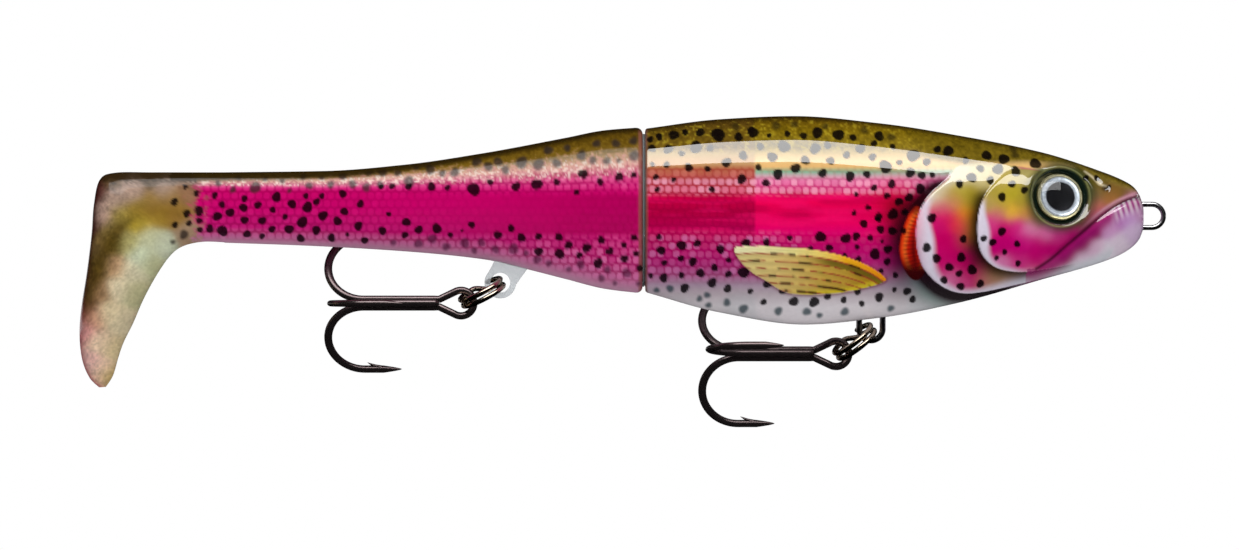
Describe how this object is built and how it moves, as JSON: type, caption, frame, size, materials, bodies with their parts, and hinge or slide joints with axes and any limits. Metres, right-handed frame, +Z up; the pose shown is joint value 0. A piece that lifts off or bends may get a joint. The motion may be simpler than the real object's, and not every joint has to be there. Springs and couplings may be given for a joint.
{
  "type": "swimbait",
  "caption": "Hybrid swimbait with a hollow hard head, a hinged harness that carries a soft boot tail, and treble hooks hung on split rings under the belly and tail.",
  "frame": {"origin": "centre of the line tie's eye in front of the nose", "axes": "+X forwards out of the nose, +Y to the lure's left, +Z up towards the back"},
  "size_m": [0.2035, 0.028, 0.0585],
  "materials": {
    "head_shell": "airbrushed and clear-coated",
    "eye_foil": "printed foil",
    "eye_lens": "clear epoxy dome",
    "stainless_wire": "bright drawn wire",
    "hinge_steel": "stamped sheet",
    "lead": "dull",
    "clear_plastic": "clear moulding",
    "soft_tail": "soft, printed and coated",
    "soft_boot": "soft, translucent",
    "ring_nickel": "nickel plated",
    "hook_black_nickel": "black nickel plated"
  },
  "bodies": {
    "head": {"head_shell_right": "head_shell", "head_shell_left": "head_shell", "eye_disc_right": "eye_foil", "eye_disc_left": "eye_foil", "eye_dome_right": "eye_lens", "eye_dome_left": "eye_lens", "line_tie": "stainless_wire", "belly_hanger": "stainless_wire", "hinge_plates": "hinge_steel", "belly_weight": "lead", "throat_weight": "lead"},
    "tail": {"joint_block": "clear_plastic", "hinge_pin": "stainless_wire", "hook_plate": "clear_plastic", "plate_pins": "stainless_wire", "corkscrew": "stainless_wire", "tail_trunk": "soft_tail"},
    "boot": {"tail_boot": "soft_boot"},
    "front_ring": {"front_split_ring": "ring_nickel"},
    "front_hook": {"front_hook_pair": "hook_black_nickel", "front_hook_third": "hook_black_nickel"},
    "rear_ring": {"rear_split_ring": "ring_nickel"},
    "rear_hook": {"rear_hook_pair": "hook_black_nickel", "rear_hook_third": "hook_black_nickel"}
  },
  "joints": [
    {"name": "tail_swing", "type": "hinge", "parent": "head", "child": "tail", "pos_m": [-0.103, 0, 0], "axis": [0, 0, 1], "range_deg": [-30, 30]},
    {"name": "boot_kick", "type": "hinge", "parent": "tail", "child": "boot", "pos_m": [-0.174, 0, 0], "axis": [0, 0, 1], "range_deg": [-35, 35], "stiffness_Nm_per_rad": 0.02},
    {"name": "front_ring_swing", "type": "hinge", "parent": "head", "child": "front_ring", "pos_m": [-0.05269, 0, -0.02114], "axis": [0, 1, 0], "range_deg": [-65, 0]},
    {"name": "front_hook_swing", "type": "hinge", "parent": "front_ring", "child": "front_hook", "pos_m": [-0.05917, 0.00148, -0.02587], "axis": [0, 1, 0], "range_deg": [-75, 0]},
    {"name": "rear_ring_swing", "type": "hinge", "parent": "tail", "child": "rear_ring", "pos_m": [-0.12218, 0, -0.01251], "axis": [0, 1, 0], "range_deg": [-65, 0]},
    {"name": "rear_hook_swing", "type": "hinge", "parent": "rear_ring", "child": "rear_hook", "pos_m": [-0.12954, 0, -0.01634], "axis": [0, 1, 0], "range_deg": [-75, 0]}
  ]
}
